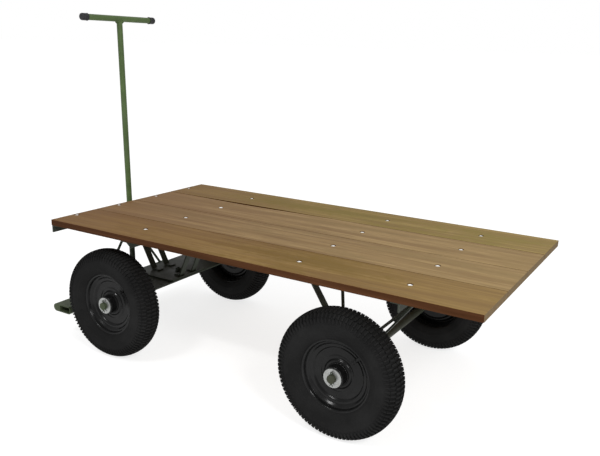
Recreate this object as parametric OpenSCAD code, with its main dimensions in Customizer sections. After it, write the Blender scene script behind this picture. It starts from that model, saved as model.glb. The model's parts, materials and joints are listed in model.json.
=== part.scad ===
// Four-wheeled platform trolley with a plank deck, a steered front axle and an upright T handle.
// Millimetres, +Z up, resting on z = 0. The front (handle) end points to -X and the left side to -Y.
// Every module draws in deck coordinates, where x = 0 is the middle of the deck's length. The whole
// assembly is then shifted so that the middle of its footprint is on the origin.

/* [Deck] */
// Length of the planks
deck_length = 1500; // [1200:10:1800]
// Width of the deck across all planks
deck_width = 800; // [600:10:1000]
// Plank thickness
deck_thickness = 20; // [15:1:30]
// Height of the deck's upper face above the floor
deck_height = 463; // [440:1:520]
// Gap between neighbouring planks
plank_gap = 1; // [0.5:0.5:4]
// Number of planks
plank_count = 4; // [3:1:5]

/* [Cross angles] */
// Leg width of the steel angles under the deck
angle_size = 25.4; // [20:0.1:40]
// Wall thickness of the steel angles
angle_wall = 3.2; // [2:0.1:5]
// Middle of the second angle, from the middle of the deck
angle_2_x = -411; // [-450:1:-350]
// Middle of the third angle, from the middle of the deck
angle_3_x = 182; // [120:1:240]
// Middle of the rear angle, from the middle of the deck
angle_4_x = 522; // [450:1:600]

/* [Wheels] */
// Outer diameter of the tyres
tyre_diameter = 379; // [350:1:400]
// Section width of the tyres
tyre_width = 86; // [75:1:100]
// Distance from the middle plane to each rear wheel's middle plane
rear_half_track = 363; // [340:1:380]
// Distance from the middle plane to each front wheel's middle plane
front_half_track = 336; // [320:1:350]
// Front axle and kingpin position along the deck
front_axle_x = -538; // [-560:1:-520]
// Rear axle position along the deck
rear_axle_x = 358; // [340:1:400]

/* [Handle] */
// Height of the T bar's axis above the floor
handle_height = 1136; // [1000:1:1200]
// Forward lean of the handle tube, in degrees
handle_lean = 1.46; // [0:0.01:5]
// Outside radius of the handle tubes
handle_tube_r = 10.65; // [9:0.05:16]
// Overall length of the T bar with its end caps
t_bar_length = 360; // [300:1:450]

/* [Hidden] */
$fn = 64;

paint_green = [0.24, 0.31, 0.16];
handle_green = [0.33, 0.48, 0.22];
wood_brown = [0.72, 0.55, 0.35];
rubber_black = [0.05, 0.05, 0.05];
gloss_black = [0.03, 0.03, 0.03];
zinc = [0.75, 0.75, 0.73];

half_length = deck_length / 2;
deck_under = deck_height - deck_thickness;
plank_width = (deck_width - (plank_count - 1) * plank_gap) / plank_count;
angle_length = deck_width - 4;
angle_1_x = -half_length + angle_size / 2;
angle_xs = [angle_1_x, angle_2_x, angle_3_x, angle_4_x];
angle_mid_x = angle_size / 2;
leg_under = deck_under - angle_wall;

bolt_r = 4;
bolt_hole_r = 4.1;
bolt_head_r = 8;
bolt_head_h = 4;
recess_r = 9;
recess_depth = 4.3;
nut_h = 6.5;
nut_r = 7.5;
plain_washer_h = 1.6;
plain_washer_r = 8.5;
bolt_tip = 2;
bolt_seat_z = deck_height - recess_depth;
shank_foot_z = leg_under - plain_washer_h - nut_h - bolt_tip;

strap_t = 5;
strap_w = 25;
third_angle_length = 650;
end_trim = 18;
rear_leg_y = 270;
front_leg_y = 34;
rear_rod_r = 5;
tie_rod_x = 337;
tie_rod_z = 207;

tyre_r = tyre_diameter / 2;
tyre_half = tyre_width / 2;
axle_z = tyre_r;
axle_r = 12.5;
axle_top = axle_z + axle_r;
axle_under = axle_z - axle_r;
collar_r = 18;
collar_w = 8;
seat_depth = 0.5;
running_gap = 0.05;
fixed_gap = 0.02;
hub_half = 36.5;
hub_r = 31;
bearing_w = 15;
bearing_r = 26;
axle_end = 50;
retainer_r = 27.5;
retainer_h = 3;
retainer_at = 36.7;
cotter_at = 44.5;
cotter_r = 1.9;
cotter_hole_r = 2.1;
axle_chamfer = 1;
shoulder_gap = 1.5;

plate_t = 6;
bottom_plate_under = axle_top - seat_depth;
bottom_plate_top = bottom_plate_under + plate_t;
top_plate_under = bottom_plate_top + running_gap;
top_plate_top = top_plate_under + plate_t;
top_plate_front = -640;
top_plate_rear = -484;
top_plate_half_w = 100;
bottom_plate_front = -678;
bottom_plate_rear = -482;
bottom_plate_half_w = 215;
kingpin_r = 6;
kingpin_head_r = 11;
kingpin_washer_r = 12.5;
kingpin_washer_h = 2.5;
kingpin_nut_h = 10;

tongue_t = 8;
tongue_w = 80;
tongue_z = bottom_plate_under - tongue_t / 2;
tongue_rear = -600;
tongue_bend_x = -697;

crossbar_front = -824;
crossbar_w = 86;
crossbar_h = 28;
crossbar_under = 103;
crossbar_wall = 4;
crossbar_half_y = 355;
crossbar_slot_front = -792;
crossbar_corner = 7;
crossbar_top = crossbar_under + crossbar_h;

hinge_x = -776;
hinge_z = 150;
hinge_pin_r = 10;
sleeve_r = 17;
sleeve_half = 178;
ear_gap = 0.5;
ear_t = 8;
ear_r = hinge_z - crossbar_top;
ear_outer = sleeve_half + ear_gap + ear_t;
hinge_washer_h = 2;
hinge_nut_h = 10;
hinge_nut_r = 16;
hinge_washer_r = 18;
hinge_pin_half = ear_outer + hinge_washer_h + hinge_nut_h + 4;

tube_wall = 2;
handle_rise = (handle_height - hinge_z);
t_bar_x = hinge_x - handle_rise * tan(handle_lean);
stay_r = 5;
stay_top_z = 372;
stay_foot_y = 162;
cap_length = 28;
cap_end = 3;
cap_wall = 2.2;
t_bar_half = t_bar_length / 2 - cap_end;

// The footprint's middle: the front crossbar stands ahead of the deck.
x_shift = -(crossbar_front + half_length) / 2;

// Outline of a bent flat bar of thickness t along the path p, with mitred bends.
function normal_of(a, b) = let (d = b - a, l = norm(d)) [-d[1], d[0]] / l;
function mitre_dir(n1, n2) = let (m = n1 + n2, u = m / norm(m)) u / (u * n1);
function side_point(p, i, s) =
    i == 0 ? p[0] + s * normal_of(p[0], p[1]) :
    i == len(p) - 1 ? p[i] + s * normal_of(p[i - 1], p[i]) :
    p[i] + s * mitre_dir(normal_of(p[i - 1], p[i]), normal_of(p[i], p[i + 1]));
function strip(p, t) = concat([for (i = [0 : len(p) - 1]) side_point(p, i, t / 2)],
                              [for (i = [len(p) - 1 : -1 : 0]) side_point(p, i, -t / 2)]);
function mirrored(p) = concat(p, [for (i = [len(p) - 1 : -1 : 0]) [p[i][0], -p[i][1]]]);
function inward(p, centre, d) = [for (q = p) q + d * (centre - q) / norm(centre - q)];

// A flat shape in the XZ plane, w wide, centred on y.
module side_plate(points, y, w) {
    translate([0, y + w / 2, 0]) rotate([90, 0, 0]) linear_extrude(w) polygon(points);
}

// A cylinder along +Y from y0 to y1 at x, z.
module y_rod(x, z, y0, y1, r) {
    translate([x, y0, z]) rotate([-90, 0, 0]) cylinder(h = y1 - y0, r = r);
}

// A straight rod between two points.
module rod(a, b, r) {
    d = b - a;
    translate(a)
        rotate([0, acos(d[2] / norm(d)), atan2(d[1], d[0])])
            cylinder(h = norm(d), r = r);
}

// A hexagonal nut or bolt head with its base on z = 0.
module hexagon(r, h) {
    cylinder(h = h, r = r, $fn = 6);
}

// ---- deck ----

// Bolt holes, with a round recess in the planks that takes each domed head below the surface.
module bolt_holes() {
    for (x = angle_xs, y = [-3, -1, 1, 3])
        translate([x, y * deck_width / 8, 0]) {
            translate([0, 0, deck_under - angle_size])
                cylinder(h = angle_size + 2 * deck_thickness, r = bolt_hole_r);
            translate([0, 0, bolt_seat_z]) cylinder(h = deck_thickness, r = recess_r);
        }
}

module plank(i) {
    color(wood_brown) difference() {
        translate([-half_length, -deck_width / 2 + i * (plank_width + plank_gap), deck_under])
            cube([deck_length, plank_width, deck_thickness]);
        bolt_holes();
    }
}

module deck_bolts() {
    color(zinc) for (x = angle_xs, y = [-3, -1, 1, 3])
        translate([x, y * deck_width / 8, bolt_seat_z]) {
            rotate_extrude() polygon([[0, 0], [bolt_head_r, 0], [bolt_head_r, 0.8],
                                      [bolt_head_r * 0.85, bolt_head_h * 0.55],
                                      [bolt_head_r * 0.5, bolt_head_h * 0.9],
                                      [0, bolt_head_h]]);
            translate([0, 0, shank_foot_z - bolt_seat_z])
                cylinder(h = bolt_seat_z - shank_foot_z, r = bolt_r);
        }
}

module deck_nuts() {
    color(zinc) for (x = angle_xs, y = [-3, -1, 1, 3])
        translate([x, y * deck_width / 8, leg_under - plain_washer_h - nut_h])
            difference() {
                union() {
                    hexagon(nut_r, nut_h);
                    translate([0, 0, nut_h]) cylinder(h = plain_washer_h, r = plain_washer_r);
                }
                translate([0, 0, -1]) cylinder(h = nut_h + plain_washer_h + 2, r = bolt_r + fixed_gap);
            }
}

// One steel angle under the deck; side = -1 turns its upright leg to the front, +1 to the rear.
// The upright leg's lower corners are cut back by trim.
module cross_angle(x, side, length = angle_length, trim = 0) {
    upright_x = side < 0 ? x - angle_mid_x : x + angle_mid_x - angle_wall;
    half = length / 2;
    upright = [[0, -half], [leg_under - deck_under, -half], [-angle_size, trim - half],
               [-angle_size, half - trim], [leg_under - deck_under, half], [0, half]];
    color(paint_green) difference() {
        union() {
            translate([x - angle_mid_x, -half, leg_under]) cube([angle_size, length, angle_wall]);
            translate([upright_x, 0, deck_under]) rotate([0, -90, 0]) mirror([0, 0, 1])
                linear_extrude(angle_wall) polygon(upright);
        }
        bolt_holes();
    }
}

// ---- rear axle and its legs ----

third_back = angle_3_x + angle_mid_x;
third_face = third_back + strap_t / 2;
fourth_face = angle_4_x + angle_mid_x + strap_t / 2;
leg_to_axle = axle_r + strap_t / 2 - seat_depth;
rear_fore_face = rear_axle_x - leg_to_axle;
rear_aft_face = rear_axle_x + leg_to_axle;
leg_foot_z = axle_z - 10;
rear_fore_path = [[third_face, deck_under], [third_face, 424], [rear_fore_face, axle_z + 10],
                  [rear_fore_face, leg_foot_z]];
rear_aft_path = [[fourth_face, deck_under], [fourth_face, 414], [rear_aft_face, axle_z + 10],
                 [rear_aft_face, leg_foot_z]];

module leg(path, y) {
    color(paint_green) side_plate(strip(path, strap_t), y, strap_w);
}

// A rear leg, with its foot hollowed to sit against the round axle.
module rear_leg(path, y) {
    color(paint_green) difference() {
        side_plate(strip(path, strap_t), y, strap_w);
        y_rod(rear_axle_x, axle_z, y - strap_w, y + strap_w, axle_r);
    }
}

// Two slanting rods from the third angle to the fore legs, and one tie rod between those legs.
module rear_rods() {
    inner_y = rear_leg_y - strap_w / 2;
    color(paint_green) intersection() {
        for (s = [-1, 1])
            rod([third_back, s * 65, 424], [316, s * (inner_y + 3), 240], rear_rod_r);
        translate([third_back, -inner_y, 0])
            cube([rear_axle_x - third_back, 2 * inner_y, deck_under]);
    }
    color(paint_green) y_rod(tie_rod_x, tie_rod_z, -inner_y, inner_y, rear_rod_r);
}

// A round bar along Y with a collar inside each wheel hub and a cross hole near each end.
module axle_bar(x, half_track) {
    tip = half_track + axle_end;
    collar_end = half_track - hub_half - shoulder_gap;
    collar_start = collar_end - collar_w;
    profile = [[axle_r, 0], [axle_r, collar_start], [collar_r, collar_start],
               [collar_r, collar_end], [axle_r, collar_end], [axle_r, tip - axle_chamfer],
               [axle_r - axle_chamfer, tip], [0, tip]];
    difference() {
        translate([x, 0, axle_z]) rotate([-90, 0, 0]) rotate_extrude() polygon(mirrored(profile));
        for (s = [-1, 1])
            translate([x, s * (half_track + cotter_at), axle_z - 2 * axle_r])
                cylinder(h = 4 * axle_r, r = cotter_hole_r);
    }
}

module axle_washers(x, half_track) {
    color(zinc) for (s = [-1, 1])
        translate([x, s * (half_track + retainer_at), axle_z]) rotate([-s * 90, 0, 0])
            difference() {
                cylinder(h = retainer_h, r = retainer_r);
                translate([0, 0, -1]) cylinder(h = retainer_h + 2, r = axle_r + fixed_gap);
            }
}

// Split pins: a round shank through the axle, an eye on top and two spread ends below.
module cotter_pins(x, half_track) {
    color(zinc) for (s = [-1, 1])
        translate([x, s * (half_track + cotter_at), axle_z]) {
            translate([0, 0, -axle_r - 3]) cylinder(h = 2 * axle_r + 5, r = cotter_r);
            translate([0, 0, axle_r + 4.8]) rotate([90, 0, 0])
                rotate_extrude() translate([3, 0]) circle(r = 1.4);
            for (side = [-1, 1])
                translate([0, 0, -axle_r - 2]) rotate([0, side * 140, 0])
                    cylinder(h = 8, r = 1.2);
        }
}

// ---- turntable and steered carriage ----

front_face = -half_length + angle_wall + strap_t / 2;
second_face = angle_2_x + angle_mid_x - angle_wall - strap_t / 2;
front_foot_z = top_plate_top + strap_t / 2;
front_fore_path = [[front_face, leg_under], [front_face, 430], [-628, front_foot_z],
                   [-596, front_foot_z]];
front_aft_path = [[second_face, leg_under], [second_face, 424], [-494, front_foot_z],
                  [-517, front_foot_z]];

module kingpin_bore(gap, z0, z1) {
    translate([front_axle_x, 0, z0]) cylinder(h = z1 - z0, r = kingpin_r + gap);
}

// A flat plate with cut corners, its underside on z.
module corner_plate(front, rear, half_w, cut, z) {
    translate([0, 0, z]) linear_extrude(plate_t)
        polygon([[front, cut - half_w], [front + cut, -half_w], [rear - cut, -half_w],
                 [rear, cut - half_w], [rear, half_w - cut], [rear - cut, half_w],
                 [front + cut, half_w], [front, half_w - cut]]);
}

module turntable_top_plate() {
    color(paint_green) difference() {
        corner_plate(top_plate_front, top_plate_rear, top_plate_half_w, 8, top_plate_under);
        kingpin_bore(running_gap, top_plate_under - 1, top_plate_top + 1);
    }
}

module turntable_bottom_plate() {
    color(paint_green) difference() {
        corner_plate(bottom_plate_front, bottom_plate_rear, bottom_plate_half_w, 15,
                     bottom_plate_under);
        y_rod(front_axle_x, axle_z, -bottom_plate_half_w - 1, bottom_plate_half_w + 1, axle_r);
        kingpin_bore(fixed_gap, axle_top - 2, bottom_plate_top + 1);
    }
}

// The kingpin stands in a blind hole in the front axle and carries its nut above the top plate.
kingpin_foot = axle_under + 4;
kingpin_nut_z = top_plate_top + running_gap;

module kingpin() {
    color(zinc) kingpin_bore(0, kingpin_foot, kingpin_nut_z + kingpin_washer_h + kingpin_nut_h + 4);
}

module kingpin_nut() {
    color(zinc) difference() {
        translate([front_axle_x, 0, kingpin_nut_z]) {
            cylinder(h = kingpin_washer_h, r = kingpin_washer_r);
            translate([0, 0, kingpin_washer_h]) hexagon(kingpin_head_r, kingpin_nut_h);
        }
        kingpin_bore(fixed_gap, kingpin_nut_z - 1, kingpin_nut_z + kingpin_washer_h + kingpin_nut_h + 1);
    }
}

module front_axle() {
    color(paint_green) difference() {
        axle_bar(front_axle_x, front_half_track);
        kingpin_bore(fixed_gap, kingpin_foot, axle_top + 1);
    }
}

crossbar_rear = crossbar_front + crossbar_w;
tongue_drop_x = crossbar_rear + tongue_t / 2;

// A bent plate from under the bottom turntable plate down to the back of the crossbar.
module tongue() {
    path = [[tongue_rear, tongue_z], [tongue_bend_x, tongue_z], [tongue_drop_x, 152],
            [tongue_drop_x, crossbar_under + crossbar_corner]];
    color(paint_green) side_plate(strip(path, tongue_t), 0, tongue_w);
}

// A solid round nose with a rectangular tube behind it, drawn as one section.
module front_crossbar() {
    nose_r = crossbar_h / 2;
    nose_x = crossbar_front + nose_r;
    corner_x = crossbar_rear - crossbar_corner;
    color(handle_green) difference() {
        union() {
            y_rod(nose_x, crossbar_under + nose_r, -crossbar_half_y, crossbar_half_y, nose_r);
            side_plate([[nose_x, crossbar_under], [corner_x, crossbar_under],
                        [crossbar_rear, crossbar_under + crossbar_corner],
                        [crossbar_rear, crossbar_top - crossbar_corner], [corner_x, crossbar_top],
                        [nose_x, crossbar_top]], 0, 2 * crossbar_half_y);
        }
        translate([crossbar_slot_front, -crossbar_half_y - 1, crossbar_under + crossbar_wall])
            cube([crossbar_rear - crossbar_wall - crossbar_slot_front, 2 * crossbar_half_y + 2,
                  crossbar_h - 2 * crossbar_wall]);
    }
}

module hinge_ears() {
    color(paint_green) for (s = [-1, 1])
        translate([0, s * (sleeve_half + ear_gap + ear_t / 2), 0]) difference() {
            union() {
                y_rod(hinge_x, hinge_z, -ear_t / 2, ear_t / 2, ear_r);
                translate([hinge_x - ear_r, -ear_t / 2, crossbar_top])
                    cube([2 * ear_r, ear_t, ear_r]);
            }
            y_rod(hinge_x, hinge_z, -ear_t, ear_t, hinge_pin_r + fixed_gap);
        }
}

module hinge_pin() {
    color(zinc) y_rod(hinge_x, hinge_z, -hinge_pin_half, hinge_pin_half, hinge_pin_r);
}

module hinge_nuts() {
    color(zinc) for (s = [-1, 1])
        translate([hinge_x, s * ear_outer, hinge_z]) rotate([-s * 90, 0, 0]) difference() {
            union() {
                cylinder(h = hinge_washer_h, r = hinge_washer_r);
                translate([0, 0, hinge_washer_h]) hexagon(hinge_nut_r, hinge_nut_h);
            }
            translate([0, 0, -1])
                cylinder(h = hinge_washer_h + hinge_nut_h + 2, r = hinge_pin_r + fixed_gap);
        }
}

// ---- handle ----

module hinge_sleeve() {
    color(handle_green) difference() {
        y_rod(hinge_x, hinge_z, -sleeve_half, sleeve_half, sleeve_r);
        y_rod(hinge_x, hinge_z, -sleeve_half - 1, sleeve_half + 1, hinge_pin_r + running_gap);
    }
}

handle_foot = [hinge_x, 0, hinge_z];
handle_head = [t_bar_x, 0, handle_height];

module handle_tube() {
    color(handle_green) difference() {
        rod(handle_foot, handle_head, handle_tube_r);
        rod(handle_foot, handle_head, handle_tube_r - tube_wall);
        y_rod(hinge_x, hinge_z, -sleeve_half, sleeve_half, sleeve_r);
        y_rod(t_bar_x, handle_height, -t_bar_half, t_bar_half, handle_tube_r);
    }
}

module handle_stays() {
    stay_top = handle_foot + (handle_head - handle_foot) * (stay_top_z - hinge_z) / handle_rise;
    color(handle_green) difference() {
        for (s = [-1, 1])
            rod([hinge_x, s * stay_foot_y, hinge_z + 5], stay_top, stay_r);
        y_rod(hinge_x, hinge_z, -sleeve_half, sleeve_half, sleeve_r);
        rod(handle_foot, handle_head, handle_tube_r);
    }
}

module t_bar() {
    color(handle_green) difference() {
        y_rod(t_bar_x, handle_height, -t_bar_half, t_bar_half, handle_tube_r);
        y_rod(t_bar_x, handle_height, -t_bar_half - 1, t_bar_half + 1, handle_tube_r - tube_wall);
    }
}

module end_cap(s) {
    color(gloss_black) translate([t_bar_x, s * (t_bar_half + cap_end), handle_height])
        rotate([s * 90, 0, 0])
            rotate_extrude() polygon([[0, 0], [handle_tube_r - 1, 0], [handle_tube_r + cap_wall, 2.5],
                                      [handle_tube_r + cap_wall, cap_length],
                                      [handle_tube_r + fixed_gap, cap_length],
                                      [handle_tube_r + fixed_gap, cap_end], [0, cap_end]]);
}

// ---- wheels: drawn with the axis along Z, the outer side towards +Z ----

tyre_section = [tyre_r - 46, 0];
tyre_outer = [[tyre_r - 84.7, 18], [tyre_r - 84.7, 27.6], [tyre_r - 72, 28.6],
              [tyre_r - 66.5, tyre_half - 9], [tyre_r - 57.5, tyre_half - 3],
              [tyre_r - 46.5, tyre_half], [tyre_r - 34.5, tyre_half],
              [tyre_r - 23.5, tyre_half - 1.5], [tyre_r - 14.5, tyre_half - 4.5],
              [tyre_r - 8.5, tyre_half - 9], [tyre_r - 4.5, tyre_half - 16],
              [tyre_r - 1.5, tyre_half - 26], [tyre_r, tyre_half - 36]];
tyre_inner = [[tyre_r - 78.5, 18], [tyre_r - 72.5, 22], [tyre_r - 64.5, tyre_half - 13],
              [tyre_r - 56.5, tyre_half - 8.5], [tyre_r - 45.5, tyre_half - 6],
              [tyre_r - 34.5, tyre_half - 6], [tyre_r - 25.5, tyre_half - 7.2],
              [tyre_r - 18.5, tyre_half - 11], [tyre_r - 13.5, tyre_half - 17],
              [tyre_r - 10.5, tyre_half - 27], [tyre_r - 9, tyre_half - 38]];
tube_skin = 2.5;
tube_clear = 1;
seat_r = tyre_r - 85;
rim_wall = 2.5;
flange_r = tyre_r - 72.1;
flange_z = 31;
valve_z = 12;
valve_r = 4;
valve_inner_r = 70;

module tyre() {
    loop = concat(mirrored(tyre_outer), [for (q = mirrored(tyre_inner)) [q[0], -q[1]]]);
    color(rubber_black) rotate_extrude($fn = 96) polygon(loop);
}

// The tube's own skin, with its valve stem standing out through the rim.
module inner_tube() {
    seat = [[seat_r + 1.5, 0], [seat_r + 1.5, 16]];
    outer = concat(seat, inward(tyre_inner, tyre_section, tube_clear));
    inner = concat([[seat_r + 1.5 + tube_skin, 0], [seat_r + 1.5 + tube_skin, 13]],
                   inward(tyre_inner, tyre_section, tube_clear + tube_skin));
    color(rubber_black) union() {
        difference() {
            rotate_extrude($fn = 96) polygon(mirrored(outer));
            rotate_extrude($fn = 96) polygon(mirrored(inner));
        }
        translate([valve_inner_r, 0, valve_z]) rotate([0, 90, 0])
            cylinder(h = seat_r + 2.5 - valve_inner_r, r = valve_r);
        translate([valve_inner_r - 6, 0, valve_z]) rotate([0, 90, 0])
            cylinder(h = 8, r = valve_r + 0.8);
    }
}

module rim() {
    disc = [[seat_r - rim_wall - 0.01, 5], [seat_r - 8, 5], [seat_r - 18.5, -3], [43, -3],
            [38, 6], [hub_r, 6]];
    color(gloss_black) difference() {
        union() {
            rotate_extrude($fn = 96) polygon(mirrored([[seat_r - rim_wall, 0],
                [seat_r - rim_wall, flange_z - 1.5], [seat_r, flange_z],
                [flange_r - 1, flange_z], [flange_r, flange_z - 1], [flange_r - 0.5, 28.9],
                [seat_r, 27.9], [seat_r, 0]]));
            rotate_extrude($fn = 96) polygon(strip([for (q = disc) [q[0] + rim_wall / 4, q[1]]],
                                                   rim_wall));
        }
        translate([seat_r - 10, 0, valve_z]) rotate([0, 90, 0])
            cylinder(h = 20, r = valve_r + 0.5);
        translate([0, 0, -hub_half]) cylinder(h = 2 * hub_half, r = hub_r);
    }
}

module hub() {
    pocket = hub_half - bearing_w - 0.6;
    color(gloss_black) rotate_extrude()
        polygon(mirrored([[22, 0], [22, pocket], [bearing_r + fixed_gap, pocket],
                          [bearing_r + fixed_gap, hub_half], [hub_r - 1, hub_half],
                          [hub_r, hub_half - 1], [hub_r, 0]]));
}

module bearings() {
    color(zinc) for (s = [0, 1]) mirror([0, 0, s])
        translate([0, 0, hub_half - bearing_w - 0.5]) rotate_extrude()
            polygon([[axle_r + running_gap, 0], [bearing_r, 0], [bearing_r, bearing_w],
                     [bearing_r - 4.5, bearing_w], [bearing_r - 4.8, bearing_w - 0.8],
                     [axle_r + 3.4, bearing_w - 0.8], [axle_r + 3, bearing_w],
                     [axle_r + running_gap, bearing_w]]);
}

// Places a wheel piece: side = -1 is the left (-Y) end of the axle, +1 the right end.
module at_wheel(x, half_track, side) {
    translate([x, side * half_track, axle_z]) rotate([0, -45, 0]) rotate([-side * 90, 0, 0])
        children();
}

module front_wheel(side) {
    at_wheel(front_axle_x, front_half_track, side) children();
}

module rear_wheel(side) {
    at_wheel(rear_axle_x, rear_half_track, side) children();
}

// ---- assembly ----

translate([x_shift, 0, 0]) {
    plank(0);  // plank_1
    plank(1);  // plank_2
    plank(2);  // plank_3
    plank(3);  // plank_4
    deck_bolts();
    deck_nuts();
    cross_angle(angle_1_x, -1);  // front_angle
    cross_angle(angle_2_x, 1, angle_length, end_trim);  // second_angle
    cross_angle(angle_3_x, 1, third_angle_length);  // third_angle
    cross_angle(angle_4_x, 1);  // rear_angle
    rear_leg(rear_fore_path, -rear_leg_y);  // rear_fore_leg_left
    rear_leg(rear_fore_path, rear_leg_y);  // rear_fore_leg_right
    rear_leg(rear_aft_path, -rear_leg_y);  // rear_aft_leg_left
    rear_leg(rear_aft_path, rear_leg_y);  // rear_aft_leg_right
    rear_rods();
    color(paint_green) axle_bar(rear_axle_x, rear_half_track);  // rear_axle
    axle_washers(rear_axle_x, rear_half_track);  // rear_washers
    cotter_pins(rear_axle_x, rear_half_track);  // rear_cotter_pins
    leg(front_fore_path, -front_leg_y);  // front_fore_leg_left
    leg(front_fore_path, front_leg_y);  // front_fore_leg_right
    leg(front_aft_path, -front_leg_y);  // front_aft_leg_left
    leg(front_aft_path, front_leg_y);  // front_aft_leg_right
    turntable_top_plate();
    kingpin();
    kingpin_nut();
    turntable_bottom_plate();
    front_axle();
    tongue();
    front_crossbar();
    hinge_ears();
    hinge_pin();
    hinge_nuts();
    axle_washers(front_axle_x, front_half_track);  // front_washers
    cotter_pins(front_axle_x, front_half_track);  // front_cotter_pins
    hinge_sleeve();
    handle_tube();
    handle_stays();
    t_bar();
    end_cap(-1);  // end_cap_left
    end_cap(1);  // end_cap_right
    front_wheel(-1) tyre();  // tyre_fl
    front_wheel(1) tyre();  // tyre_fr
    rear_wheel(-1) tyre();  // tyre_rl
    rear_wheel(1) tyre();  // tyre_rr
    front_wheel(-1) inner_tube();  // inner_tube_fl
    front_wheel(1) inner_tube();  // inner_tube_fr
    rear_wheel(-1) inner_tube();  // inner_tube_rl
    rear_wheel(1) inner_tube();  // inner_tube_rr
    front_wheel(-1) rim();  // rim_fl
    front_wheel(1) rim();  // rim_fr
    rear_wheel(-1) rim();  // rim_rl
    rear_wheel(1) rim();  // rim_rr
    front_wheel(-1) hub();  // hub_fl
    front_wheel(1) hub();  // hub_fr
    rear_wheel(-1) hub();  // hub_rl
    rear_wheel(1) hub();  // hub_rr
    front_wheel(-1) bearings();  // bearings_fl
    front_wheel(1) bearings();  // bearings_fr
    rear_wheel(-1) bearings();  // bearings_rl
    rear_wheel(1) bearings();  // bearings_rr
}
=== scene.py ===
"""Looks for a four-wheeled platform trolley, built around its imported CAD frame.

Metres, +Z up, in the frame of the CAD: the handle is at -X and the near side is -Y.
"""
import json
import math

import bmesh
import bpy
from mathutils import Matrix, Vector, noise


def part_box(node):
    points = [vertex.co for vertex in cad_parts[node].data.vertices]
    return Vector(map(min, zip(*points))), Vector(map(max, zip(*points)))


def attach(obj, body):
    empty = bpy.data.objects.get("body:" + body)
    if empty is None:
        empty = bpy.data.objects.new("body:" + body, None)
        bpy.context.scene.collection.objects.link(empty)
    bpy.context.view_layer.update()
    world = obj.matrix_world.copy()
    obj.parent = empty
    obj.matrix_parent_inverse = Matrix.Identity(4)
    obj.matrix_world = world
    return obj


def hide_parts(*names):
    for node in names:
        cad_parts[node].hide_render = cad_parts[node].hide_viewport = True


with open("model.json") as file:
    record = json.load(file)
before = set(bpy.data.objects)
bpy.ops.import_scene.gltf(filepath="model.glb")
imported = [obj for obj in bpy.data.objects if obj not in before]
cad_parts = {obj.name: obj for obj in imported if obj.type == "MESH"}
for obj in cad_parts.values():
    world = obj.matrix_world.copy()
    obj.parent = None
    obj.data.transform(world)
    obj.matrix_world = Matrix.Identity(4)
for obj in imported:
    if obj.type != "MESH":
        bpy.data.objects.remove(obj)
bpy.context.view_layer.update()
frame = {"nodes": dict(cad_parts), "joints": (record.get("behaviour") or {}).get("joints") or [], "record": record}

MM = 0.001
WHEEL_CODES = {
    "wheel_front_left": "fl",
    "wheel_front_right": "fr",
    "wheel_rear_left": "rl",
    "wheel_rear_right": "rr",
}
WHEEL_TURN = math.radians(-45)  # sets each valve up and towards the tail
VIEW_FROM = (1.1992, -1.9191, 1.0579)
VIEW_TURN = (75.283, -1.492, 31.601)  # degrees about X, Y and Z
AWAY_FROM_VIEW = (-0.524, 0.852, 0.0)


# ---------------------------------------------------------------- materials

PORE_BROWN = (0.04, 0.022, 0.008)
# painted shade at the front and painted light at the tail, over the wood's own redder front and paler tail
FRONT_BROWN_AND_SHADE = (0.165, 0.082, 0.036)
TAIL_TAN_AND_LIGHT = (0.36, 0.265, 0.115)
EDGE_STAIN = ((0.044, 0.016, 0.005), (0.076, 0.030, 0.012))
END_GRAIN = ((0.20, 0.14, 0.068), (0.08, 0.05, 0.024))
CHIP_BROWN = (0.035, 0.028, 0.022)
# painted shade: the dark colour that paint turns to below a height, under the deck
UNDER_DECK_SHADE = (0.016, 0.020, 0.013)
ZINC_HAZE = (0.3, 0.29, 0.26)
GRIT = (0.05, 0.046, 0.04)


class Graph:
    """Adds and links the shader nodes of one material."""

    def __init__(self, name, **surface):
        self.material = bpy.data.materials.new(name)
        self.material.use_nodes = True
        self.tree = self.material.node_tree
        self.surface = self.tree.nodes["Principled BSDF"]
        for key, value in surface.items():
            self.feed(self.surface.inputs[key.replace("_", " ")], value)

    def feed(self, socket, value):
        if isinstance(value, bpy.types.NodeSocket):
            self.tree.links.new(value, socket)
        elif socket.type == "RGBA":
            socket.default_value = (*value, 1.0)
        else:
            socket.default_value = value

    def node(self, kind, inputs, **settings):
        made = self.tree.nodes.new("ShaderNode" + kind)
        for key, value in settings.items():
            setattr(made, key, value)
        for key, value in inputs.items():
            self.feed(made.inputs[key], value)
        return made

    def place(self, scale, offset=(0, 0, 0)):
        """The object's own coordinates in metres, scaled and shifted."""
        coords = self.tree.nodes.new("ShaderNodeTexCoord").outputs["Object"]
        return self.node("Mapping", {"Vector": coords, "Scale": scale, "Location": offset}).outputs[0]

    def noise(self, vector, scale, detail=3.0, roughness=0.5, distortion=0.0):
        inputs = {"Vector": vector, "Scale": scale, "Detail": detail,
                  "Roughness": roughness, "Distortion": distortion}
        return self.node("TexNoise", inputs).outputs[0]

    def remap(self, value, low, high, new_low=0.0, new_high=1.0):
        inputs = {"Value": value, "From Min": low, "From Max": high,
                  "To Min": new_low, "To Max": new_high}
        return self.node("MapRange", inputs).outputs[0]

    def mix(self, factor, a, b, mode="MIX"):
        made = self.node("Mix", {}, data_type="RGBA", blend_type=mode)
        for index, value in ((0, factor), (6, a), (7, b)):
            self.feed(made.inputs[index], value)
        return made.outputs[2]

    def math(self, operation, a, b=0.0):
        return self.node("Math", {0: a, 1: b}, operation=operation).outputs[0]

    def bump(self, height, strength, distance):
        inputs = {"Height": height, "Strength": strength, "Distance": distance}
        return self.node("Bump", inputs).outputs[0]

    def finish(self, **sockets):
        for key, value in sockets.items():
            self.feed(self.surface.inputs[key.replace("_", " ")], value)
        return self.material


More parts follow.
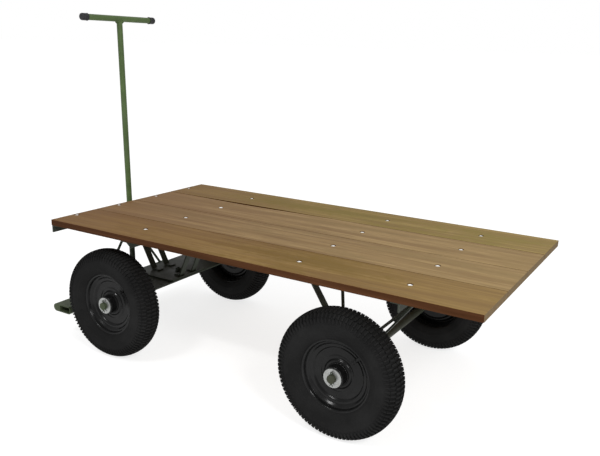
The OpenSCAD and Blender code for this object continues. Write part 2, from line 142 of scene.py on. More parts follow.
def wood(name, seed, light, dark, smudge, streaks, figure, smear):
    """One sawn, oiled plank: grain along X, red-brown sealed long edges, pale end grain.

    smear is the darker patch: its middle (x, y) and its reach along x and y.
    """
    g = Graph(name, Specular_IOR_Level=0.06)
    shift = (seed * 3.7, seed * 1.3, seed * 0.7)
    lines = g.noise(g.place((2.2, 110, 110), shift), 1.0, 6, 0.65, 0.25)
    bands = g.noise(g.place((1.1, 26, 26), shift), 1.0, 6, 0.66, 0.9)
    cloud = g.noise(g.place((2.4, 7, 7), shift), 1.2, 6, 0.62, 0.4)
    feather = g.noise(g.place((20, 26, 26), shift), 1.0, 5, 0.7, 1.2)
    rings = g.node("TexWave", {"Vector": g.place((1.4, 9, 9), shift), "Scale": 1.6,
                               "Distortion": 7.0, "Detail": 3.0, "Detail Scale": 0.7},
                   bands_direction="Y").outputs[1]
    pores = g.noise(g.place((30, 900, 900), shift), 1.0, 2, 0.5)
    dashes = g.noise(g.place((5, 70, 70), shift), 1.0, 4, 0.6, 0.5)
    tone = g.mix(g.remap(bands, 0.40, 0.60), dark, light)
    tone = g.mix(g.remap(dashes, 0.56, 0.70, 0, 0.75), tone, tuple(c * 0.62 for c in dark))
    tone = g.mix(g.math("MULTIPLY", g.remap(lines, 0.45, 0.72), streaks), tone, dark)
    tone = g.mix(g.math("MULTIPLY", rings, figure), tone, dark)
    patch = g.math("ADD", g.math("MULTIPLY", cloud, 0.72), g.math("MULTIPLY", feather, 0.28))
    tone = g.mix(g.remap(patch, 0.50, 0.60, 0, 0.85), tone, smudge)
    tone = g.mix(g.remap(pores, 0.6, 0.75, 0, 0.4), tone, PORE_BROWN)
    at_x, at_y, reach_x, reach_y = smear
    centred = g.node("Mapping", {"Vector": g.place((1, 1, 0)),
                                 "Location": (-at_x / reach_x, -at_y / reach_y, 0),
                                 "Scale": (1 / reach_x, 1 / reach_y, 0)}).outputs[0]
    outward = g.node("VectorMath", {0: centred}, operation="LENGTH").outputs["Value"]
    ragged = g.math("ADD", outward, g.math("MULTIPLY", g.math("ADD", feather, -0.5), 3.2))
    tone = g.mix(g.remap(ragged, 0.3, 1.3, 0.85, 0.0), tone, tuple(c * 0.92 for c in smudge))
    along = g.node("SeparateXYZ", {0: g.place((1, 1, 1))}).outputs[0]
    # darker and redder towards the front, paler towards the tail: partly the wood's own tone, partly painted shade
    # at the front and painted light at the tail
    tone = g.mix(g.remap(along, -0.8, 0.1, 0.68, 0.0), tone, FRONT_BROWN_AND_SHADE)
    tone = g.mix(g.remap(along, 0.1, 0.8, 0.0, 0.2), tone, TAIL_TAN_AND_LIGHT)
    facing = g.node("SeparateXYZ", {0: g.tree.nodes.new("ShaderNodeNewGeometry").outputs["Normal"]})
    side = g.remap(g.math("ABSOLUTE", facing.outputs[1]), 0.45, 0.75)
    end = g.remap(g.math("ABSOLUTE", facing.outputs[0]), 0.5, 0.8)
    stain = g.mix(g.remap(lines, 0.4, 0.65), *EDGE_STAIN)
    grain_end = g.mix(g.noise(g.place((400, 260, 90)), 1.0), *END_GRAIN)
    tone = g.mix(side, tone, stain)
    tone = g.mix(end, tone, grain_end)
    height = g.math("ADD", g.math("MULTIPLY", lines, 0.7), g.math("MULTIPLY", pores, 0.3))
    return g.finish(Base_Color=tone, Roughness=g.remap(lines, 0.3, 0.8, 0.6, 0.8),
                    Normal=g.bump(height, 0.35, 0.0006))


def paint(name, base, roughness, wear=0.62, shade_top=0.0):
    """Brushed enamel on steel: uneven film, dust and chips, and painted shade below a height."""
    g = Graph(name, Specular_IOR_Level=0.2)
    where = g.place((1, 1, 1))
    film = g.noise(where, 18, 4, 0.6)
    dust = g.noise(where, 6, 5, 0.6)
    chips = g.noise(where, 120, 3, 0.6)
    deep = tuple(c * 0.72 for c in base)
    dusty = tuple(c * 0.7 + 0.03 for c in base)
    tone = g.mix(g.remap(film, 0.35, 0.65), base, deep)
    tone = g.mix(g.remap(dust, 0.5, 0.75, 0, 0.6), tone, dusty)
    tone = g.mix(g.remap(chips, wear + 0.06, wear + 0.1, 0, 0.85), tone, CHIP_BROWN)
    # painted shade: darker below the height where the deck's shadow falls on the handle
    up = g.node("SeparateXYZ", {0: where}).outputs[2]
    tone = g.mix(g.remap(up, shade_top - 0.04, shade_top, 0.9, 0.0), tone, UNDER_DECK_SHADE)
    height = g.math("ADD", g.math("MULTIPLY", film, 0.5), g.math("MULTIPLY", chips, -0.2))
    return g.finish(Base_Color=tone, Roughness=g.remap(dust, 0.35, 0.7, roughness, roughness + 0.22),
                    Normal=g.bump(height, 0.25, 0.0008))


def zinc(name, base, metallic, roughness):
    """Zinc plate: soft crystal mottling and fine scratches."""
    g = Graph(name, Metallic=metallic)
    where = g.place((1, 1, 1))
    cells = g.node("TexVoronoi", {"Vector": where, "Scale": 260.0}).outputs["Distance"]
    haze = g.noise(where, 60, 4, 0.6)
    tone = g.mix(g.remap(cells, 0.1, 0.7), base, tuple(c * 0.78 for c in base))
    tone = g.mix(g.remap(haze, 0.55, 0.75, 0, 0.5), tone, ZINC_HAZE)
    return g.finish(Base_Color=tone, Roughness=g.remap(haze, 0.3, 0.7, roughness, roughness + 0.2),
                    Normal=g.bump(haze, 0.12, 0.0004))


def rubber(name, base, roughness):
    """Tyre rubber: a faint bloom and dust over near black."""
    g = Graph(name, Specular_IOR_Level=0.05)
    where = g.place((1, 1, 1))
    bloom = g.noise(where, 9, 5, 0.6)
    grit = g.noise(where, 420, 3, 0.6)
    tone = g.mix(g.remap(bloom, 0.4, 0.7), base, tuple(c * 1.5 + 0.002 for c in base))
    tone = g.mix(g.remap(grit, 0.6, 0.75, 0, 0.4), tone, GRIT)
    return g.finish(Base_Color=tone, Roughness=g.remap(bloom, 0.3, 0.7, roughness, roughness + 0.15),
                    Normal=g.bump(grit, 0.2, 0.0005))


def enamel(name, base, roughness):
    """Black stoving enamel on pressed steel: glossy, with a slight orange peel and dust."""
    g = Graph(name, Specular_IOR_Level=0.04, Coat_Weight=0.3, Coat_Roughness=0.22)
    where = g.place((1, 1, 1))
    peel = g.noise(where, 240, 2, 0.5)
    dust = g.noise(where, 14, 5, 0.65)
    tone = g.mix(g.remap(dust, 0.45, 0.75), base, tuple(c * 1.6 + 0.004 for c in base))
    return g.finish(Base_Color=tone, Roughness=g.remap(dust, 0.4, 0.75, roughness, roughness + 0.25),
                    Normal=g.bump(peel, 0.06, 0.0004))


def plastic(name, base, roughness):
    """Moulded black plastic with a fine spark-eroded skin."""
    g = Graph(name, Specular_IOR_Level=0.25)
    where = g.place((1, 1, 1))
    skin = g.noise(where, 900, 2, 0.5)
    rub = g.noise(where, 40, 4, 0.6)
    tone = g.mix(g.remap(rub, 0.45, 0.7), base, tuple(c * 1.8 + 0.003 for c in base))
    return g.finish(Base_Color=tone, Roughness=g.remap(rub, 0.3, 0.7, roughness, roughness + 0.2),
                    Normal=g.bump(skin, 0.15, 0.0003))


PLANK_WOODS = [
    wood("wood_1", 1, (0.25, 0.158, 0.05), (0.15, 0.083, 0.028), (0.155, 0.092, 0.02), 0.4, 0.3,
         (0.24, -0.285, 0.30, 0.045)),
    wood("wood_2", 2, (0.315, 0.215, 0.098), (0.19, 0.117, 0.053), (0.21, 0.14, 0.062), 0.65, 0.1,
         (-0.45, -0.06, 0.25, 0.03)),
    wood("wood_3", 3, (0.32, 0.218, 0.10), (0.20, 0.124, 0.056), (0.23, 0.152, 0.066), 0.65, 0.1,
         (0.1, 0.14, 0.4, 0.02)),
    wood("wood_4", 4, (0.30, 0.215, 0.072), (0.19, 0.125, 0.043), (0.185, 0.14, 0.032), 0.3, 0.45,
         (-0.1, 0.3, 0.35, 0.05)),
]
# the frame's green enamel darkened as painted shade, for the parts under the deck
SHADED_OLIVE = paint("olive_enamel_shaded", (0.030, 0.037, 0.025), 0.5)
# a lighter copy of the frame green: painted light on the crossbar, sleeve and front axle
LIT_MOSS = paint("moss_enamel_lit", (0.047, 0.063, 0.029), 0.45, 0.64)
# a darker, browner copy of the frame green: painted shade on the rear axle
SHADED_BARK = paint("bark_enamel_shaded", (0.038, 0.041, 0.026), 0.5, 0.64)
# the handle green carries painted shade below 0.45 m, where the deck shades it
LEAF = paint("leaf_enamel", (0.075, 0.120, 0.040), 0.4, 0.66, 0.45)
ZINC = zinc("zinc_plate", (0.42, 0.43, 0.42), 0.85, 0.34)
# near-white, far paler than the zinc plate: a painted highlight on the domed bolt heads
BOLT_ZINC_HIGHLIGHT = zinc("bolt_zinc_highlight", (0.95, 0.94, 0.92), 0.15, 0.35)
STEEL = zinc("bearing_ground_steel", (0.4, 0.4, 0.4), 1.0, 0.25)
TYRE = rubber("tyre_black", (0.0098, 0.0098, 0.0098), 0.75)
BUTYL = rubber("butyl_black", (0.014, 0.014, 0.014), 0.5)
ENAMEL = enamel("enamel_black", (0.0048, 0.0048, 0.0048), 0.16)
CAP = plastic("cap_black", (0.012, 0.012, 0.013), 0.35)


# ---------------------------------------------------------------- mesh tools


def add_piece(name, bm, material, body, replaced=()):
    """Turns a bmesh in the CAD's frame into a piece that rides on a body."""
    bmesh.ops.recalc_face_normals(bm, faces=bm.faces)
    mesh = bpy.data.meshes.new(name)
    bm.to_mesh(mesh)
    bm.free()
    mesh.materials.append(material)
    mesh.polygons.foreach_set("use_smooth", [True] * len(mesh.polygons))
    piece = bpy.data.objects.new(name, mesh)
    bpy.context.scene.collection.objects.link(piece)
    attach(piece, body)
    if replaced:
        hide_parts(*replaced)
    return piece


def rounded(points, radius, steps=3):
    """The same open outline with each inner corner turned into a short arc."""
    points = [Vector(p) for p in points]
    out = [points[0]]
    for before, corner, after in zip(points, points[1:], points[2:]):
        back = before - corner
        ahead = after - corner
        cut = min(radius, back.length * 0.45, ahead.length * 0.45)
        start = corner + back.normalized() * cut
        stop = corner + ahead.normalized() * cut
        for i in range(steps + 1):
            t = i / steps
            out.append(start * (1 - t) ** 2 + corner * (2 * t * (1 - t)) + stop * t ** 2)
    return out + [points[-1]]


def ribbon(path, thickness):
    """A closed outline of even thickness around an open path."""
    sides = ([], [])
    for i, point in enumerate(path):
        ahead = path[min(i + 1, len(path) - 1)] - path[max(i - 1, 0)]
        across = Vector((-ahead.y, ahead.x)).normalized() * (thickness / 2)
        sides[0].append(point + across)
        sides[1].append(point - across)
    return sides[0] + sides[1][::-1]


def lathe(bm, outline, matrix, steps=96, closed=True):
    """Turns an outline of (radius, height) round the local Z axis."""
    rings = []
    for i in range(steps):
        turn = Matrix.Rotation(math.tau * i / steps, 4, "Z")
        rings.append([bm.verts.new(matrix @ turn @ Vector((r, 0, z))) for r, z in outline])
    spans = len(outline) if closed else len(outline) - 1
    for ring, following in zip(rings, rings[1:] + rings[:1]):
        for k in range(spans):
            n = (k + 1) % len(outline)
            bm.faces.new((ring[k], following[k], following[n], ring[n]))
    return rings


def solid_turning(bm, outline, matrix, steps=32):
    """A lathe whose outline starts and ends just off the axis, closed by two small caps."""
    rings = lathe(bm, outline, matrix, steps, closed=False)
    bm.faces.new([ring[0] for ring in rings])
    bm.faces.new([ring[-1] for ring in rings][::-1])


def sweep(bm, points, radii, closed=False, sides=10):
    """A round tube along points with its own radius at each."""
    count = len(points)
    rings = []
    for i, point in enumerate(points):
        before = points[(i - 1) % count] if closed or i else point
        after = points[(i + 1) % count] if closed or i < count - 1 else point
        along = (after - before).normalized()
        across = along.orthogonal() if abs(along.z) > 0.9 else along.cross(Vector((0, 0, 1)))
        across.normalize()
        up = along.cross(across)
        rings.append([bm.verts.new(point + radii[i] * (across * math.cos(a) + up * math.sin(a)))
                      for a in (math.tau * k / sides for k in range(sides))])
    pairs = list(zip(rings, rings[1:] + rings[:1])) if closed else list(zip(rings, rings[1:]))
    for ring, following in pairs:
        for k in range(sides):
            n = (k + 1) % sides
            bm.faces.new((ring[k], ring[n], following[n], following[k]))
    if not closed:
        bm.faces.new(rings[0])
        bm.faces.new(rings[-1][::-1])


def bead(bm, points, radius, closed=False, swell=None):
    """A weld bead: a tube with the overlapping ripples of a hand-run weld."""
    lengths = [(b - a).length for a, b in zip(points, points[1:])]
    total = sum(lengths)
    count = max(8, int(total / (0.9 * MM)))
    spots = []
    radii = []
    for i in range(count + (0 if closed else 1)):
        left = total * i / count
        k = 0
        while k < len(lengths) - 1 and left > lengths[k]:
            left -= lengths[k]
            k += 1
        share = min(1.0, left / lengths[k])
        spots.append(points[k].lerp(points[k + 1], share))
        ripple = 1 + 0.14 * math.sin(math.tau * i / 4) + 0.08 * noise.noise(spots[-1] * 90)
        grow = 1.0 if swell is None else swell(i / count)
        radii.append(radius * ripple * grow)
    sweep(bm, spots, radii, closed, sides=8)


def hard_edges(piece, angle):
    """Marks the edges that are sharper than an angle, so that they shade crisply."""
    mesh = piece.data
    bm = bmesh.new()
    bm.from_mesh(mesh)
    for edge in bm.edges:
        if len(edge.link_faces) == 2 and edge.calc_face_angle() > math.radians(angle):
            edge.smooth = False
    bm.to_mesh(mesh)
    bm.free()


def crisp(piece):
    """Small bevels on the hard edges, with flat faces kept flat."""
    weld = piece.modifiers.new("weld", "WELD")
    weld.merge_threshold = 0.01 * MM
    bevel = piece.modifiers.new("bevel", "BEVEL")
    bevel.width = 0.6 * MM
    bevel.segments = 2
    bevel.limit_method = "ANGLE"
    bevel.angle_limit = math.radians(35)
    bevel.harden_normals = True
    bevel.use_clamp_overlap = True


# ---------------------------------------------------------------- deck

RECESS_R = 9 * MM
PLUG_LENGTH = 20.4 * MM
PLUG_RISE = 6 * MM
LONG_EDGE_EASE = 1.3 * MM
PLANK_STATIONS = 90
EDGE_WANDER = 0.6 * MM
OUTER_WANDER = 0.25 * MM
OPEN_SEAM = {3, 4}
OPEN_SEAM_X = -0.32
OPEN_SEAM_REACH = 0.22
OPEN_SEAM_PULL = 2.4 * MM
OPEN_SEAM_SAG = 2.8 * MM


def plank_outline(half_width, under, top, edge):
    """The cross-section of a plank, its four long corners eased."""
    corners = [(half_width, under, -90), (half_width, top, 0),
               (-half_width, top, 90), (-half_width, under, 180)]
    points = []
    for y, z, start in corners:
        ease = edge if z == top else edge * 0.6
        centre_y = y - math.copysign(ease, y)
        centre_z = z - ease if z == top else z + ease
        for k in range(4):
            a = math.radians(start + 30 * k)
            points.append((centre_y + ease * math.cos(a), centre_z + ease * math.sin(a)))
    return points


def bolt_cutter():
    """One mesh of round plugs, a hair wider than the recess round each bolt head."""
    bolts_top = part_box("deck_bolts")[1].z
    bm = bmesh.new()
    for angle in ("front_angle", "second_angle", "third_angle", "rear_angle"):
        angle_lo, angle_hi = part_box(angle)
        for number in (1, 2, 3, 4):
            plank_lo, plank_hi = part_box(f"plank_{number}")
            centre = Vector(((angle_lo.x + angle_hi.x) / 2, (plank_lo.y + plank_hi.y) / 2,
                             bolts_top + PLUG_RISE))
            bmesh.ops.create_cone(bm, cap_ends=True, segments=40, radius1=RECESS_R, radius2=RECESS_R,
                                  depth=PLUG_LENGTH, matrix=Matrix.Translation(centre))
    mesh = bpy.data.meshes.new("bolt_cutter")
    bm.to_mesh(mesh)
    bm.free()
    cutter = bpy.data.objects.new("bolt_cutter", mesh)
    bpy.context.scene.collection.objects.link(cutter)
    return cutter


def cut_away(piece, cutter):
    """Bakes a boolean cut into the piece's own mesh."""
    cut = piece.modifiers.new("cut", "BOOLEAN")
    cut.object = cutter
    cut.solver = "EXACT"
    depsgraph = bpy.context.evaluated_depsgraph_get()
    baked = bpy.data.meshes.new_from_object(piece.evaluated_get(depsgraph))
    baked.polygons.foreach_set("use_smooth", [False] * len(baked.polygons))
    piece.modifiers.remove(cut)
    piece.data = baked


def plank(number, cutter):
    """A sawn plank whose long edges wander a little, so that the seams open and close.

    One seam gapes on the front half of the deck, where the third plank has sunk.
    """
    node = f"plank_{number}"
    lo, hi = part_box(node)
    deck_edge = abs(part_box("plank_1")[0].y)
    middle = (lo.y + hi.y) / 2
    half = (hi.y - lo.y) / 2
    outline = plank_outline(half, lo.z, hi.z, LONG_EDGE_EASE)
    bm = bmesh.new()
    rings = []
    for i in range(PLANK_STATIONS + 1):
        x = lo.x + (hi.x - lo.x) * i / PLANK_STATIONS
        gape = math.exp(-((x - OPEN_SEAM_X) / OPEN_SEAM_REACH) ** 2)
        ring = []
        for y, z in outline:
            side = 1 if y > 0 else -1
            outer = abs(middle + side * half) > deck_edge - 5 * MM
            wander = noise.noise(Vector((x * 2.1, number * 5.0 + side * 9.0, 0))) * 0.5 + 0.5
            opening = gape if {number, number + side} == OPEN_SEAM else 0.0
            pull = OUTER_WANDER * wander if outer else EDGE_WANDER * wander + OPEN_SEAM_PULL * opening
            lift = noise.noise(Vector((x * 3, number * 7.0, y * 8))) * 0.25 * MM
            sinks = number == 3 and z > hi.z - 2 * MM
            sag = OPEN_SEAM_SAG * opening if sinks else 0.0
            ring.append(bm.verts.new((x, middle + y - side * pull, z + min(lift, 0.0) - sag)))
        rings.append(ring)
    for ring, following in zip(rings, rings[1:]):
        for k in range(len(ring)):
            n = (k + 1) % len(ring)
            bm.faces.new((ring[k], ring[n], following[n], following[k]))
    bm.faces.new(rings[0])
    bm.faces.new(rings[-1][::-1])
    piece = add_piece(f"board_{number}", bm, PLANK_WOODS[number - 1], "frame", [node])
    cut_away(piece, cutter)


CUTTER = bolt_cutter()
for plank_number in (1, 2, 3, 4):
    plank(plank_number, CUTTER)
bpy.data.objects.remove(CUTTER)


# ---------------------------------------------------------------- wheels

TYRE_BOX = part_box("tyre_fl")
TYRE_R = (TYRE_BOX[1].x - TYRE_BOX[0].x) / 2
TYRE_HALF = (TYRE_BOX[1].y - TYRE_BOX[0].y) / 2
WIDEST_R = TYRE_R - 41 * MM
SIDEWALL_DROP = 42.5 * MM
BEAD_HALF = 26.5 * MM
SHOULDER_POWER = 2 / 2.35  # rounds the section between an ellipse and a box
TREAD_DEPTH = 5 * MM
LUGS = 90
# Each row of blocks: first and last section angle, length in mm, share of a pitch it is shifted by,
# and how much of its height it loses on the way out. Rows off the crown are on both sides.
TREAD_ROWS = [
    (-9, 9, 7.5, 0.0, 0.0),
    (13, 33, 7.0, 0.0, 0.0),
    (36, 57, 6.5, 0.5, 0.1),
    (59, 80, 6.5, 0.5, 0.65),
]
# Each raised ring on the side: depth below the tread, height and spread, all in mm.
SIDE_RINGS = [(67.0, 0.8, 1.3), (61.0, 2.4, 1.8), (26.0, 0.6, 1.4)]


def carcass(angle):
    """A point (radius, offset) on the tyre's skin; 0 is the crown, 90 degrees the widest part."""
    crown = TYRE_R - TREAD_DEPTH
    a = abs(angle)
    side = math.copysign(1.0, angle)
    if a <= math.pi / 2:
        r = WIDEST_R + (crown - WIDEST_R) * math.cos(a) ** SHOULDER_POWER
        z = TYRE_HALF * math.sin(a) ** SHOULDER_POWER
    else:
        b = a - math.pi / 2
        r = WIDEST_R - SIDEWALL_DROP * math.sin(b)
        z = BEAD_HALF + (TYRE_HALF - BEAD_HALF) * math.cos(b) ** 1.25
    for depth, height, spread in SIDE_RINGS:
        z += height * MM * math.exp(-((r - (TYRE_R - depth * MM)) / (spread * MM)) ** 2)
    return Vector((r, side * min(z, TYRE_HALF)))


def carcass_normal(angle):
    step = 0.02
    along = carcass(angle + step) - carcass(angle - step)
    return Vector((along.y, -along.x)).normalized()


def lug(bm, matrix, turn, start, stop, length, height, taper):
    """A tread block between two section angles, with sloping sides."""
    cuts = 3
    frames = []
    for i in range(cuts + 1):
        angle = start + (stop - start) * i / cuts
        foot = carcass(angle)
        out = carcass_normal(angle)
        rise = height * (1 - taper * i / cuts)
        top = foot + out * rise
        low = foot - out * 0.6 * MM
        half_foot = length / 2 / foot.x
        half_top = (length / 2 - 1.1 * MM) / foot.x
        corners = []
        for point, spread in ((low, -half_foot), (top, -half_top), (top, half_top), (low, half_foot)):
            spin = Matrix.Rotation(turn + spread, 4, "Z")
            corners.append(bm.verts.new(matrix @ spin @ Vector((point.x, 0, point.y))))
        frames.append(corners)
    for near, far in zip(frames, frames[1:]):
        for k in range(3):
            bm.faces.new((near[k], near[k + 1], far[k + 1], far[k]))
    bm.faces.new(frames[0])
    bm.faces.new(frames[-1][::-1])


def tyre(code, body, matrix):
    """Carcass with moulded side rings, and staggered rows of tread blocks."""
    bm = bmesh.new()
    count = 84
    outer = [carcass(-math.pi + math.tau * i / count) for i in range(count + 1)]
    bead_r = TYRE_R - 84.6 * MM
    inner = [Vector((bead_r, 25 * MM)), Vector((bead_r, 19 * MM)), Vector((TYRE_R - 72 * MM, 21 * MM)),
             Vector((TYRE_R - 46 * MM, 35 * MM)), Vector((TYRE_R - 20 * MM, 30 * MM)),
             Vector((TYRE_R - 12 * MM, 12 * MM))]
    inner += [Vector((p.x, -p.y)) for p in inner[::-1]]
    lathe(bm, outer + inner, matrix, 120)
    for first, last, length, stagger, taper in TREAD_ROWS:
        for side in ((1,) if first < 0 else (1, -1)):
            for i in range(LUGS):
                turn = math.tau * (i + stagger) / LUGS
                lug(bm, matrix, turn, math.radians(first) * side, math.radians(last) * side,
                    length * MM, TREAD_DEPTH, taper)
    piece = add_piece(f"tread_{code}", bm, TYRE, body, [f"tyre_{code}"])
    hard_edges(piece, 40)


def rim(code, body, matrix):
    """Pressed rim: rolled flanges, and a drop centre that flows into a dished, swaged disc."""
    seat = TYRE_R - 86.3 * MM
    lip = TYRE_R - 73.3 * MM
    flange = 29.6 * MM
    face = [(lip + 0.5 * MM, flange - 2.4 * MM), (lip, flange), (lip - 4 * MM, flange),
            (lip - 8 * MM, flange - 4.3 * MM), (seat - 1 * MM, flange - 5 * MM),
            (seat - 5 * MM, 15 * MM), (seat - 8 * MM, 15.5 * MM), (seat - 15.3 * MM, 8 * MM),
            (seat - 22 * MM, 8 * MM), (seat - 27.5 * MM, 2 * MM), (56 * MM, 2 * MM),
            (50 * MM, 4 * MM), (44 * MM, 3.5 * MM), (39 * MM, 9 * MM), (31.5 * MM, 10 * MM)]
    drum = [(seat - 4 * MM, 17 * MM), (seat - 3 * MM, -9 * MM), (seat, -19 * MM),
            (seat + 2 * MM, 4 * MM - flange), (lip - 5 * MM, -flange), (lip, -flange),
            (lip + 0.5 * MM, 2.4 * MM - flange)]
    bm = bmesh.new()
    for outline in (face, drum):
        lathe(bm, ribbon(rounded(outline, 3 * MM, 5), 2.2 * MM), matrix, 128)
    ring = [matrix @ Vector((32.2 * MM * math.cos(a), 32.2 * MM * math.sin(a), 11.5 * MM))
            for a in (math.tau * k / 72 for k in range(73))]
    bead(bm, ring, 2 * MM, closed=True)
    add_piece(f"wheel_disc_{code}", bm, ENAMEL, body, [f"rim_{code}"])


def valve(code, body, matrix):
    """Snap-in rubber valve stem with a ribbed dust cap, pointing at the hub."""
    seat = TYRE_R - 88 * MM
    stem = [(0.3, 0), (7, 0), (7.2, 1.5), (5.2, 5), (4.6, 9), (4.4, 17), (3.4, 18), (3.4, 21)]
    cap = [(3.4, 20), (4.9, 20.3), (5.1, 21), (5.0, 27), (4.3, 28.4), (0.3, 28.7)]
    aim = matrix @ Matrix.Translation((seat, 0, 15 * MM)) @ Matrix.Rotation(math.radians(-90), 4, "Y")
    bm = bmesh.new()
    solid_turning(bm, [(r * MM, z * MM) for r, z in stem + cap], aim, 24)
    for k in range(12):
        a = math.tau * k / 12
        foot = Vector((5.0 * MM * math.cos(a), 5.0 * MM * math.sin(a), 21 * MM))
        tip = foot + Vector((0, 0, 5.5 * MM))
        sweep(bm, [aim @ foot, aim @ tip], [0.5 * MM, 0.5 * MM], sides=6)
    add_piece(f"valve_{code}", bm, BUTYL, body)


for joint in frame["joints"]:
    body_name = joint["child"]
    if body_name in WHEEL_CODES:
        side_sign = 1 if joint["pos_m"][1] > 0 else -1
        pose = (Matrix.Translation(joint["pos_m"]) @ Matrix.Rotation(WHEEL_TURN, 4, "Y")
                @ Matrix.Rotation(-side_sign * math.pi / 2, 4, "X"))
        wheel_code = WHEEL_CODES[body_name]
        tyre(wheel_code, body_name, pose)
        rim(wheel_code, body_name, pose)
        valve(wheel_code, body_name, pose)


# ---------------------------------------------------------------- handle caps

TUBE_R = 10.65 * MM


def end_cap(side, node):
    """A push-on cap: domed end, three grip grooves and a thickened lip."""
    lo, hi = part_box(node)
    length = hi.y - lo.y
    skin = (hi.z - lo.z) / 2
    body_r = skin - 0.3 * MM
    outline = [(0.2 * MM, 0.0), (skin * 0.62, 0.4 * MM), (skin * 0.9, 2.2 * MM), (body_r, 6 * MM)]
    for k in range(3):
        at = 9 * MM + 5 * MM * k
        outline += [(body_r, at - 1.2 * MM), (skin - 0.9 * MM, at), (body_r, at + 1.2 * MM)]
    outline += [(body_r, length - 3 * MM), (skin + 0.4 * MM, length - 2 * MM),
                (skin + 0.4 * MM, length - 0.5 * MM), (TUBE_R + 0.1 * MM, length)]
    start = Vector(((lo.x + hi.x) / 2, hi.y if side > 0 else lo.y, (lo.z + hi.z) / 2))
    matrix = Matrix.Translation(start) @ Matrix.Rotation(side * math.pi / 2, 4, "X")
    bm = bmesh.new()
    solid_turning(bm, rounded([Vector(p) for p in outline], 1.2 * MM, 3), matrix, 48)
    add_piece(node.replace("end_cap", "grip_cap"), bm, CAP, "handle", [node])


end_cap(-1, "end_cap_left")
end_cap(1, "end_cap_right")


# ---------------------------------------------------------------- welds

WELDS = {"frame": bmesh.new(), "carriage": bmesh.new(), "handle": bmesh.new()}
STRAP = 5 * MM
AXLE_R = 12.5 * MM
JOINTS = {j["name"]: Vector(j["pos_m"]) for j in frame["joints"]}


def bead_line(body, start, end, radius=2.2 * MM):
    bead(WELDS[body], [Vector(start), Vector(end)], radius)


def leg_welds():
    """Each leg: up both edges against its angle, and along its foot."""
    axle = JOINTS["spin_rear_left"]
    for place in ("rear_fore", "rear_aft", "front_fore", "front_aft"):
        for hand in ("left", "right"):
            lo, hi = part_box(f"{place}_leg_{hand}")
            face = {"rear_fore": lo.x, "rear_aft": hi.x - STRAP,
                    "front_fore": lo.x, "front_aft": hi.x}[place]
            top = hi.z - 3 * MM
            for y in (lo.y, hi.y):
                bead_line("frame", (face, y, top - 17 * MM), (face, y, top))
            if place.startswith("rear"):
                side = -1 if place == "rear_fore" else 1
                x = axle.x + side * AXLE_R
                for z in (axle.z - 8 * MM, axle.z + 8 * MM):
                    bead_line("frame", (x, lo.y, z), (x, hi.y, z))
            else:
                ends = (hi.x - 30 * MM, hi.x) if place == "front_fore" else (lo.x, lo.x + 22 * MM)
                for y in (lo.y, hi.y):
                    bead_line("frame", (ends[0], y, lo.z), (ends[1], y, lo.z))


def carriage_welds():
    """Turntable plate on the axle, the axle's collars, and tongue and ears on the crossbar."""
    axle = JOINTS["steer"]
    height = JOINTS["spin_front_left"].z
    plate_lo, plate_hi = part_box("turntable_bottom_plate")
    for side in (-1, 1):
        x = axle.x + side * 9 * MM
        z = height + 11 * MM
        bead_line("carriage", (x, plate_lo.y + 6 * MM, z), (x, plate_hi.y - 6 * MM, z))
        y = side * (abs(JOINTS["spin_front_left"].y) - 46 * MM)
        ring = [Vector((axle.x + AXLE_R * math.cos(a), y, height + AXLE_R * math.sin(a)))
                for a in (math.tau * k / 40 for k in range(41))]
        bead(WELDS["carriage"], ring, 1.8 * MM, closed=True)
    bar_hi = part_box("front_crossbar")[1]
    tongue_lo, tongue_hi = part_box("tongue")
    foot_z = bar_hi.z - 7 * MM
    bead_line("carriage", (bar_hi.x, tongue_lo.y, foot_z), (bar_hi.x, tongue_hi.y, foot_z), 2.6 * MM)
    ear_lo, ear_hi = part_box("hinge_ears")
    for side in (-1, 1):
        for y in (ear_hi.y, ear_hi.y - 8 * MM):
            bead_line("carriage", (ear_lo.x, side * y, bar_hi.z), (ear_hi.x, side * y, bar_hi.z))


def saddle(centre, along, tube_r, bar_r, sign):
    """The curve where a round tube meets a round bar that lies along Y."""
    points = []
    for k in range(73):
        a = math.tau * k / 72
        x = tube_r * math.cos(a)
        drop = math.sqrt(max(bar_r ** 2 - x ** 2, 0.0))
        points.append(centre + Vector((x, tube_r * math.sin(a), 0)) + along * (sign * drop))
    return points


def handle_welds():
    """Tube into the T bar and the sleeve, and the two stays."""
    lo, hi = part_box("t_bar")
    head = (lo + hi) / 2
    foot = JOINTS["handle_hinge"]
    along = (head - foot).normalized()
    lo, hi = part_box("hinge_sleeve")
    sleeve_r = (hi.z - lo.z) / 2
    bm = WELDS["handle"]
    bead(bm, saddle(head, along, TUBE_R, TUBE_R, -1), 2.2 * MM, True,
         lambda t: 0.8 + 2.0 * abs(math.sin(math.tau * t)) ** 3)
    bead(bm, saddle(foot, along, TUBE_R, sleeve_r, 1), 3.2 * MM, True)
    stays_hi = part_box("handle_stays")[1]
    for side in (-1, 1):
        low = Vector((foot.x, side * (stays_hi.y - 5 * MM), foot.z + sleeve_r - 1 * MM))
        top = foot + along * ((stays_hi.z - foot.z) / along.z) + Vector((0, side * TUBE_R, 0))
        direction = (top - low).normalized()
        for spot, reach in ((low, 5.5), (top - direction * 6 * MM, 6.5)):
            ends = [spot - direction * reach * MM * 0.5, spot + direction * reach * MM * 0.5]
            bead(bm, ends, 6.2 * MM)


leg_welds()
carriage_welds()
handle_welds()
for weld_body, weld_mesh in WELDS.items():
    weld_paint = LEAF if weld_body == "handle" else SHADED_OLIVE
    add_piece(f"welds_{weld_body}", weld_mesh, weld_paint, weld_body)


# ---------------------------------------------------------------- CAD finishes

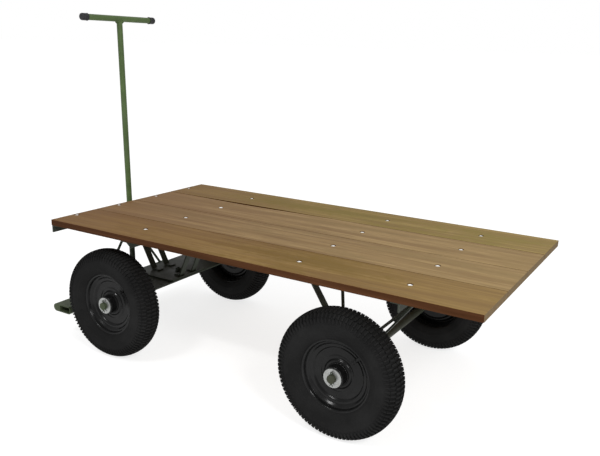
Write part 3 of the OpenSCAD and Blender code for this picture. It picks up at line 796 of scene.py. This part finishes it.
SLOT_LOOKS = {
    "zinc_steel": ZINC,
    "green_paint": SHADED_OLIVE,
    "handle_green": LEAF,
    "black_plastic": CAP,
    "tyre_rubber": TYRE,
    "butyl_rubber": BUTYL,
    "black_enamel": ENAMEL,
    "bearing_steel": STEEL,
    "deck_wood": PLANK_WOODS[0],
}
NODE_LOOKS = {
    "deck_bolts": BOLT_ZINC_HIGHLIGHT,
    # painted light: the lighter copy of the frame green
    "front_crossbar": LIT_MOSS,
    "hinge_sleeve": LIT_MOSS,
    "front_axle": LIT_MOSS,
    # painted shade: the darker copy of the frame green
    "rear_axle": SHADED_BARK,
    "kingpin": SHADED_OLIVE,
    "kingpin_nut": SHADED_OLIVE,
}
# Words in the names of the nodes whose hard edges get a small bevel.
CRISP_NODES = ("angle", "_leg_", "plate", "tongue", "crossbar", "ears", "kingpin", "nuts")

for subpart in frame["record"]["subparts"]:
    cad_node = frame["nodes"][subpart["node"]]
    look = SLOT_LOOKS[subpart["material_slot"]]
    look = NODE_LOOKS.get(subpart["node"], look)
    cad_node.data.materials.clear()
    cad_node.data.materials.append(look)
    if any(word in subpart["node"] for word in CRISP_NODES):
        crisp(cad_node)


# ---------------------------------------------------------------- stage


def backdrop():
    """A pale floor that runs out to the horizon."""
    mesh = bpy.data.meshes.new("floor")
    reach = 400
    mesh.from_pydata([(-reach, -reach, 0), (reach, -reach, 0), (reach, reach, 0), (-reach, reach, 0)],
                     [], [(0, 1, 2, 3)])
    floor = bpy.data.objects.new("floor", mesh)
    bpy.context.scene.collection.objects.link(floor)
    g = Graph("floor_white", Roughness=0.9, Specular_IOR_Level=0.0, Emission_Strength=0.76)
    tone = g.mix(g.noise(g.place((1, 1, 1)), 2.0), (0.36, 0.36, 0.36), (0.40, 0.40, 0.40))
    mesh.materials.append(g.finish(Base_Color=tone, Emission_Color=(1.0, 1.0, 1.0)))


def soft_light(name, place, target, width, height, power):
    """An oval lamp at a place, turned to a target."""
    lamp = bpy.data.lights.new(name, "AREA")
    lamp.shape = "ELLIPSE"
    lamp.size = width
    lamp.size_y = height
    lamp.energy = power
    light = bpy.data.objects.new(name, lamp)
    bpy.context.scene.collection.objects.link(light)
    light.location = place
    light.rotation_euler = (Vector(target) - Vector(place)).to_track_quat("-Z", "Y").to_euler()


def camera():
    """The view from the tail's near corner."""
    view = bpy.data.objects.new("camera", bpy.data.cameras.new("camera"))
    bpy.context.scene.collection.objects.link(view)
    view.location = VIEW_FROM
    view.rotation_euler = [math.radians(a) for a in VIEW_TURN]
    view.data.lens = 41.65
    view.data.sensor_width = 36
    bpy.context.scene.camera = view


def studio():
    """White surroundings, brighter on the far side, a key light and a rim-glint light."""
    world = bpy.data.worlds.new("studio")
    world.use_nodes = True
    tree = world.node_tree
    sky = tree.nodes["Background"]
    sky.inputs["Color"].default_value = (1.0, 1.0, 1.0, 1.0)
    facing = tree.nodes.new("ShaderNodeVectorMath")
    facing.operation = "DOT_PRODUCT"
    facing.inputs[1].default_value = AWAY_FROM_VIEW
    tree.links.new(tree.nodes.new("ShaderNodeTexCoord").outputs["Generated"], facing.inputs[0])
    fade = tree.nodes.new("ShaderNodeMapRange")
    fade.inputs["From Min"].default_value = 0.0
    fade.inputs["From Max"].default_value = 0.75
    fade.inputs["To Min"].default_value = 0.6
    fade.inputs["To Max"].default_value = 1.0
    tree.links.new(facing.outputs["Value"], fade.inputs["Value"])
    tree.links.new(fade.outputs[0], sky.inputs["Strength"])
    bpy.context.scene.world = world
    bpy.context.scene.view_settings.view_transform = "Standard"
    soft_light("key", (2.55, -1.85, 2.35), (0.3, 0, 0.3), 0.8, 0.8, 61)
    soft_light("glint", (-0.54, -3.9, 4.73), (0, -0.36, 0.2), 1.3, 0.4, 82)


backdrop()
camera()
studio()
